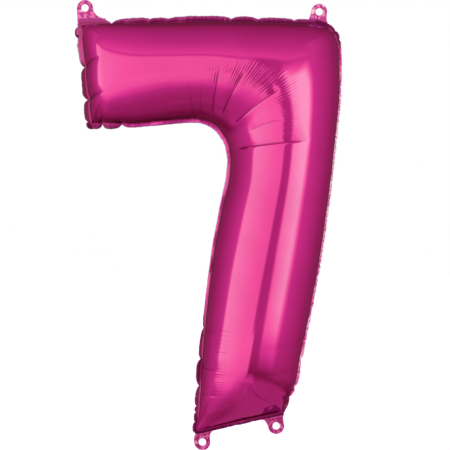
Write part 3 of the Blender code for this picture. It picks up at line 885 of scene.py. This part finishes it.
# ---- materials
class Nodes:
    """Short ways to add and link shader nodes."""

    def __init__(self, owner):
        owner.use_nodes = True
        self.tree = owner.node_tree
        self.tree.nodes.clear()

    def add(self, kind, **settings):
        node = self.tree.nodes.new(kind)
        for name, value in settings.items():
            setattr(node, name, value)
        return node

    def put(self, socket, value):
        if isinstance(value, bpy.types.NodeSocket):
            self.tree.links.new(value, socket)
        else:
            socket.default_value = value

    def fill(self, node, inputs):
        """Puts values into a node's inputs, by name or number."""
        for key, value in inputs.items():
            self.put(node.inputs[key], value)
        return node

    def math(self, operation, *values):
        return self.fill(self.add("ShaderNodeMath", operation=operation), dict(enumerate(values))).outputs[0]

    def times(self, first, *others):
        for value in others:
            first = self.math("MULTIPLY", first, value)
        return first

    def most(self, first, *others):
        for value in others:
            first = self.math("MAXIMUM", first, value)
        return first

    def remap(self, value, low, high, start=0.0, end=1.0, smooth=True):
        node = self.add("ShaderNodeMapRange", interpolation_type="SMOOTHSTEP" if smooth else "LINEAR")
        return self.fill(node, dict(enumerate((value, low, high, start, end)))).outputs[0]

    def blend(self, factor, a, b):
        """Number between a and b."""
        return self.fill(self.add("ShaderNodeMix", data_type="FLOAT"), {0: factor, 2: a, 3: b}).outputs[0]

    def mix(self, factor, a, b):
        """Colour between a and b."""
        return self.fill(self.add("ShaderNodeMix", data_type="RGBA"), {0: factor, 6: a, 7: b}).outputs[2]

    def noise(self, vector, scale, detail=2.0, roughness=0.5):
        inputs = {"Vector": vector, "Scale": scale, "Detail": detail, "Roughness": roughness}
        return self.fill(self.add("ShaderNodeTexNoise"), inputs).outputs["Fac"]

    def place(self):
        return self.add("ShaderNodeTexCoord").outputs["Object"]

    def attribute(self, name):
        return self.add("ShaderNodeAttribute", attribute_name=name).outputs["Fac"]

    def bump(self, height, distance, strength):
        inputs = {"Distance": distance, "Strength": strength, "Height": height}
        return self.fill(self.add("ShaderNodeBump"), inputs).outputs[0]

    def ramp(self, factor, stops):
        """Colour that runs in straight lines through (place from 0 to 1, colour) stops."""
        node = self.fill(self.add("ShaderNodeValToRGB"), {0: factor})
        while len(node.color_ramp.elements) < len(stops):
            node.color_ramp.elements.new(0.5)
        for element, (place, colour) in zip(node.color_ramp.elements, stops):
            element.position = place
            element.color = (*colour, 1)
        return node.outputs[0]

    def surface(self, inputs):
        """A Principled shader with these inputs, as the material's surface."""
        shader = self.fill(self.add("ShaderNodeBsdfPrincipled"), inputs)
        self.put(self.add("ShaderNodeOutputMaterial").inputs[0], shader.outputs[0])


FOIL = (0.82, 0.048, 0.292, 1)
FOIL_DEEP = (0.76, 0.040, 0.262, 1)
FOIL_RIM = (0.77, 0.095, 0.385, 1)  # the hem
FOIL_SHADE = (0.19, 0.011, 0.062, 1)  # painted shade: the hem where it lies in the tube's dark reflection
FOIL_PALE_GLINTS = (1.0, 0.68, 0.85, 1)  # painted highlight: pale glints of the hem's crinkles
FOIL_GRAZING = (0.70, 0.12, 0.38, 1)
FOIL_TAB = (0.86, 0.22, 0.48, 1)
# painted shade: the bottom tabs' foil, the same as the top tabs' but darker
FOIL_TAB_LOW_SHADED = (0.52, 0.085, 0.24, 1)
# painted shade: the neck's foil, darkened where it lies folded behind the bar's end
FOIL_NECK_SHADED = (0.30, 0.060, 0.16, 1)
FOIL_FOLD_SHADE = (0.30, 0.008, 0.085, 1)  # painted shade in the bottoms of creases, in ridge valleys and along the welds
FOIL_MIRRORED = (0.82, 0.33, 0.60, 1)  # the foil as seen in its own reflection
FOIL_FACET_SHADE = (0.50, 0.020, 0.16, 1)  # painted shade on random patches, standing for dark facets of the tabs and the neck
TAB_MIRRORED = (0.50, 0.22, 0.55, 1)
FOIL_EDGE = (0.62, 0.42, 0.52, 1)  # the cut edge of the hem
FOIL_COAT = 0.80


def hem_look(n, place, tint, out):
    """Adds the hem's edge, its painted shade and the painted pale glints of its crinkles, and the painted
    shade of creases and welds. Returns the tint and its dullness.
    """
    tint = n.mix(n.remap(out, 0.80, 0.95), tint, FOIL_EDGE)
    tone = n.attribute("shade")
    tint = n.mix(n.most(tone, 0.0), tint, FOIL_SHADE)
    # painted highlight: pale speckled glints where the 'shade' attribute is below 0, on the crinkled right
    # hem
    glint_speckle = n.remap(n.noise(place, 420.0, 3.0, 0.6), 0.38, 0.58)
    tint = n.mix(n.times(n.most(n.times(tone, -1.0), 0.0), glint_speckle), tint, FOIL_PALE_GLINTS)
    fold = n.attribute("fold")
    # painted shade in creases, ridge valleys and along the welds
    return n.mix(fold, tint, FOIL_FOLD_SHADE), n.most(fold, n.times(tone, 0.8))


def foil_material(name, rim_tint, crinkled=None):
    """Metallised film: a tinted mirror under a clear coat. crinkled is how far a tab or the neck takes the
    rim tint all over. Without it the material is a large film's, which takes that tint in its hem."""
    mat = bpy.data.materials.new(name)
    n = Nodes(mat)
    place = n.place()
    out = n.attribute("rim") if crinkled is None else None
    rim = n.remap(out, 0.0, 0.4) if crinkled is None else crinkled
    tint = n.mix(n.remap(n.noise(place, 9.0, 3.0), 0.35, 0.65), FOIL, FOIL_DEEP)
    tint = n.mix(n.times(rim, 0.75), tint, rim_tint)
    if crinkled is None:
        tint, dull = hem_look(n, place, tint, out)
        # painted shade: the hem, as the tube mirrors it beside the welds, is shown dark
        mirrored = n.mix(n.remap(out, 0.0, 0.2), FOIL_MIRRORED, FOIL_SHADE)
        # the coat is thinned where painted shade lies, so that it keeps its dark
        coat = n.times(n.math("SUBTRACT", 1.0, dull), FOIL_COAT)
    else:
        # painted shade: random dark patches stand for facets of the crumpled foil
        tint = n.mix(n.remap(n.noise(place, 130.0, 1.0), 0.50, 0.56, 0.0, 0.62), tint, FOIL_FACET_SHADE)
        mirrored = TAB_MIRRORED
        coat = FOIL_COAT
    grain = n.remap(n.noise(place, 900.0, 3.0, 0.6), 0.3, 0.7, 0.075, 0.105)
    fine = n.noise(place, 260.0, 4.0, 0.6)
    n.surface({
        "Base Color": n.mix(n.add("ShaderNodeLightPath").outputs["Is Glossy Ray"], tint, mirrored),
        "Metallic": 1.0,
        "Specular Tint": FOIL_GRAZING,
        "Roughness": n.math("ADD", grain, n.times(rim, 0.10)),
        "Coat Weight": coat,
        "Coat Roughness": n.remap(fine, 0.3, 0.7, 0.04, 0.07),
        "Coat IOR": 1.5,
        "Normal": n.bump(fine, 0.0004, n.math("ADD", 0.03, n.times(rim, 0.06))),
    })
    return mat


def film_material(name, tint, rough, alpha):
    """Soft unmetallised valve film: milky, with faint draw lines along it."""
    mat = bpy.data.materials.new(name)
    n = Nodes(mat)
    place = n.place()
    lines = n.add("ShaderNodeTexWave", wave_type="BANDS", bands_direction="Z")
    n.fill(lines, {"Vector": place, "Scale": 420.0, "Distortion": 3.0})
    line = lines.outputs["Fac"]
    paler = tuple(min(1.0, c * 1.15) for c in tint[:3]) + (1,)
    n.surface({
        "Base Color": n.mix(n.remap(n.noise(place, 120.0, 3.0), 0.35, 0.65), tint, paler),
        "Roughness": n.remap(line, 0.0, 1.0, rough, rough + 0.08),
        "Alpha": alpha,
        "Normal": n.bump(line, 0.0002, 0.25),
    })
    return mat


# ---- studio
# levels of what the foil mirrors, by direction in degrees. Azimuth is 0 towards the camera and 90 to the
# right. Pitch is 0 towards the camera, 90 straight up and 180 behind.
STUDIO_LIGHT = 1.13
ROOM = (  # by azimuth
    (-180, 0.13), (-160, 0.15), (-150, 0.24), (-120, 0.36), (-96, 0.50), (-80, 0.64), (0, 0.48), (60, 0.64),
    (90, 0.47), (120, 0.34), (150, 0.24), (160, 0.15), (180, 0.13),
)
CEILING = (  # by pitch
    (-90, 0.0), (24, 0.84), (36, 0.84), (43, 0.76), (52, 0.66), (62, 0.58), (86, 0.46), (118, 0.33),
    (132, 0.20), (180, 0.16),
)
BELOW = (  # by pitch
    (-180, 0.14), (-125, 0.18), (-110, 0.27), (-90, 0.34), (-75, 0.37), (-62, 0.44), (-50, 0.54), (-42, 0.73),
    (-29, 0.95), (-16, 1.0), (90, 1.0),
)
BACK_BOX = 0.13
GLOWS = (  # colour that each level is given
    (0.00, (0.0, 0.0, 0.0)), (0.20, (0.200, 0.050, 0.134)), (0.575, (0.575, 0.240, 0.587)),
    (0.82, (0.82, 0.45, 0.82)), (1.00, (1.0, 0.95, 1.0)), (1.30, (1.06, 3.20, 1.52)),
)
GLOW_PEAK = 3.2  # the largest of those numbers, since a ramp holds nothing over 1
CAMERA_DISTANCE = 1.7
CAMERA_ASIDE = 0.0241  # how far right of the digit's middle it stands
FLOOR_LEVEL = -0.30
FLOOR_PROFILE = (  # radius, height over the floor's level
    (0.0001, 0.0), (1.0, 0.0), (2.0, 0.0), (4.0, 0.0), (5.5, 0.02), (6.5, 0.10), (7.0, 0.25),
)


def band(n, value, low, high, soft_low, soft_high):
    """1 between low and high, with soft shoulders."""
    rise = n.remap(value, low - soft_low, low + soft_low)
    return n.times(rise, n.remap(value, high - soft_high, high + soft_high, 1.0, 0.0))


def steps(n, value, stops):
    """A level that runs in straight lines through (value, level) stops."""
    low, high = stops[0][0], stops[-1][0]
    share = n.remap(value, low, high, smooth=False)
    return n.ramp(share, [((place - low) / (high - low), (level,) * 3) for place, level in stops])


def surroundings(n, x, azimuth, elevation, pitch):
    """The level below the balloon, which also dims the left box, and that of ground, ceiling and walls."""
    walls = n.times(steps(n, azimuth, ROOM), band(n, elevation, -34, 60, 24, 10))
    ceiling = n.times(steps(n, pitch, CEILING), n.remap(elevation, 18, 34))
    ceiling = n.times(ceiling, n.remap(x, -0.10, 0.02, 1.0, 0.93))
    paler = n.times(n.remap(x, -0.20, -0.42, 0.0, -0.12), n.remap(elevation, -20, -40))
    below = n.times(steps(n, pitch, BELOW), n.math("SUBTRACT", 1.0, paler))
    far_left = n.times(n.remap(elevation, 4, -10), n.remap(x, -0.17, -0.12, 1.0, 0.0))
    left = n.times(n.remap(elevation, -7, -15), n.remap(x, -0.10, -0.03, 1.0, 0.0))
    shown = n.most(far_left, left, n.remap(elevation, -28, -46))
    ground = n.times(n.blend(n.remap(x, 0.03, 0.14), below, 0.42), shown)
    return below, n.most(ceiling, ground, walls)


def soft_boxes(n, azimuth, elevation, below):
    """Levels of the wide box on the left, the narrower one on the right and the faint one behind."""
    leaning = n.math("SUBTRACT", azimuth, n.remap(elevation, -22, 22, -6, 10, smooth=False))
    left = n.times(
        band(n, leaning, -84, -5, 8, 5), n.remap(elevation, 23, 38, 1.0, 0.0), below,
        n.remap(azimuth, -78, -10, 1.16, 0.96, smooth=False))
    right = n.times(
        band(n, azimuth, 11, 60, 6, 18), band(n, elevation, -28, 32, 18, 20),
        n.remap(azimuth, 8, 46, 0.95, 1.28, smooth=False),
        n.remap(elevation, -7, 1, 1.0, 1.12), n.remap(elevation, 9, 20, 1.0, 0.77))
    behind = n.math("SUBTRACT", 180.0, n.math("ABSOLUTE", azimuth))
    back = n.times(band(n, behind, -90, 18, 1, 9), band(n, elevation, -38, 40, 12, 12), BACK_BOX)
    return n.most(left, right, back)


def make_world():
    """A white room for the camera; for the foil's reflections, soft boxes in a room with a ceiling."""
    world = bpy.data.worlds.new("studio")
    scene.world = world
    n = Nodes(world)
    direction = n.add("ShaderNodeSeparateXYZ")
    n.put(direction.inputs[0], n.add("ShaderNodeTexCoord").outputs["Generated"])
    x, y, z = direction.outputs
    front = n.times(y, -1.0)
    azimuth = n.times(n.math("ARCTAN2", x, front), 180 / math.pi)
    elevation = n.times(n.math("ARCSINE", z), 180 / math.pi)
    pitch = n.times(n.math("ARCTAN2", z, front), 180 / math.pi)
    below, around = surroundings(n, x, azimuth, elevation, pitch)
    light = n.most(soft_boxes(n, azimuth, elevation, below), around)
    brightest = GLOWS[-1][0]
    stops = [(level / brightest, [channel / GLOW_PEAK for channel in colour]) for level, colour in GLOWS]
    tint = n.ramp(n.math("DIVIDE", light, brightest), stops)
    glow = n.fill(n.add("ShaderNodeBackground"), {"Color": tint, "Strength": GLOW_PEAK * STUDIO_LIGHT})
    plain = n.fill(n.add("ShaderNodeBackground"), {"Color": (1, 1, 1, 1)})
    seen = n.add("ShaderNodeLightPath").outputs["Is Camera Ray"]
    pick = n.fill(n.add("ShaderNodeMixShader"), {0: seen, 1: glow.outputs[0], 2: plain.outputs[0]})
    n.put(n.add("ShaderNodeOutputWorld").inputs[0], pick.outputs[0])


def make_floor():
    """A wide pale floor below the hanging balloon, with its edge turned up a little."""
    mat = bpy.data.materials.new("pale_floor")
    n = Nodes(mat)
    n.surface({
        "Base Color": n.mix(n.noise(n.place(), 3.0), (0.86, 0.86, 0.86, 1), (0.90, 0.90, 0.90, 1)),
        "Roughness": 0.8,
        "Emission Color": (1, 1, 1, 1),
        "Emission Strength": 0.80,
    })
    ring = circle(64)
    rows = [np.hstack([ring * r, np.full((64, 1), FLOOR_LEVEL + height)]) for r, height in FLOOR_PROFILE]
    points = np.array(rows)
    faces = quads(grid_ids(points), closed=True)[:, ::-1]
    floor = add_piece("floor", make_mesh("floor", points.reshape(-1, 3), faces), mat)
    floor.visible_glossy = False


def make_camera():
    """Straight in front, at half height, far enough away to see the digit without perspective."""
    low, high = cad_box
    middle = Vector(((low[0] + high[0]) / 2 + CAMERA_ASIDE, 0, (low[2] + high[2]) / 2))
    lens = bpy.data.cameras.new("camera")
    lens.sensor_width = 36
    lens.lens = lens.sensor_width * CAMERA_DISTANCE / (high[2] - low[2])
    camera = bpy.data.objects.new("camera", lens)
    camera.location = middle + Vector((0, -CAMERA_DISTANCE, 0))
    camera.rotation_euler = (math.pi / 2, 0, 0)
    scene.collection.objects.link(camera)
    scene.camera = camera


# ---- build
foil = foil_material("foil_film", FOIL_RIM)
tab_foil = foil_material("foil_tabs", FOIL_TAB, 0.90)
# painted shade: the bottom tabs get a darker copy of the tabs' foil
shaded_low_tab_foil = foil_material("foil_tabs_low_shaded", FOIL_TAB_LOW_SHADED, 0.95)
# painted shade: the neck gets a dark copy of the foil
shaded_neck_foil = foil_material("foil_neck_shaded", FOIL_NECK_SHADED, 1.0)
smooth_film = inflated_film()
for film_name, side, seed, stands_for in (
    ("front_foil", -1, 100, ("front_panel", "seam_weld")),
    ("back_foil", 1, 200, ("back_panel",)),
):
    film = make_film(film_name, smooth_film, side, seed, foil)
    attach(film, "envelope")
    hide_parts(*stands_for)
for number, (tab_name, root, direction, reach, left, right) in enumerate(TABS):
    look = tab_foil if tab_name.startswith("top") else shaded_low_tab_foil
    make_tab(tab_name, root, direction, reach, left, right, 300 + number, look)
make_neck(shaded_neck_foil)

valve_look = film_material("valve_film_milky", (0.75, 0.72, 0.74, 1), 0.32, 0.75)
coat_look = film_material("release_coat_print", (0.42, 0.36, 0.40, 1), 0.55, 1.0)
for node_name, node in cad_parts.items():
    if node_name.startswith("valve"):
        node.data.materials.clear()
        node.data.materials.append(coat_look if node_name == "valve_release_coat" else valve_look)
make_side_weld(valve_look)

make_world()
make_floor()
make_camera()
scene.view_settings.view_transform = "Standard"
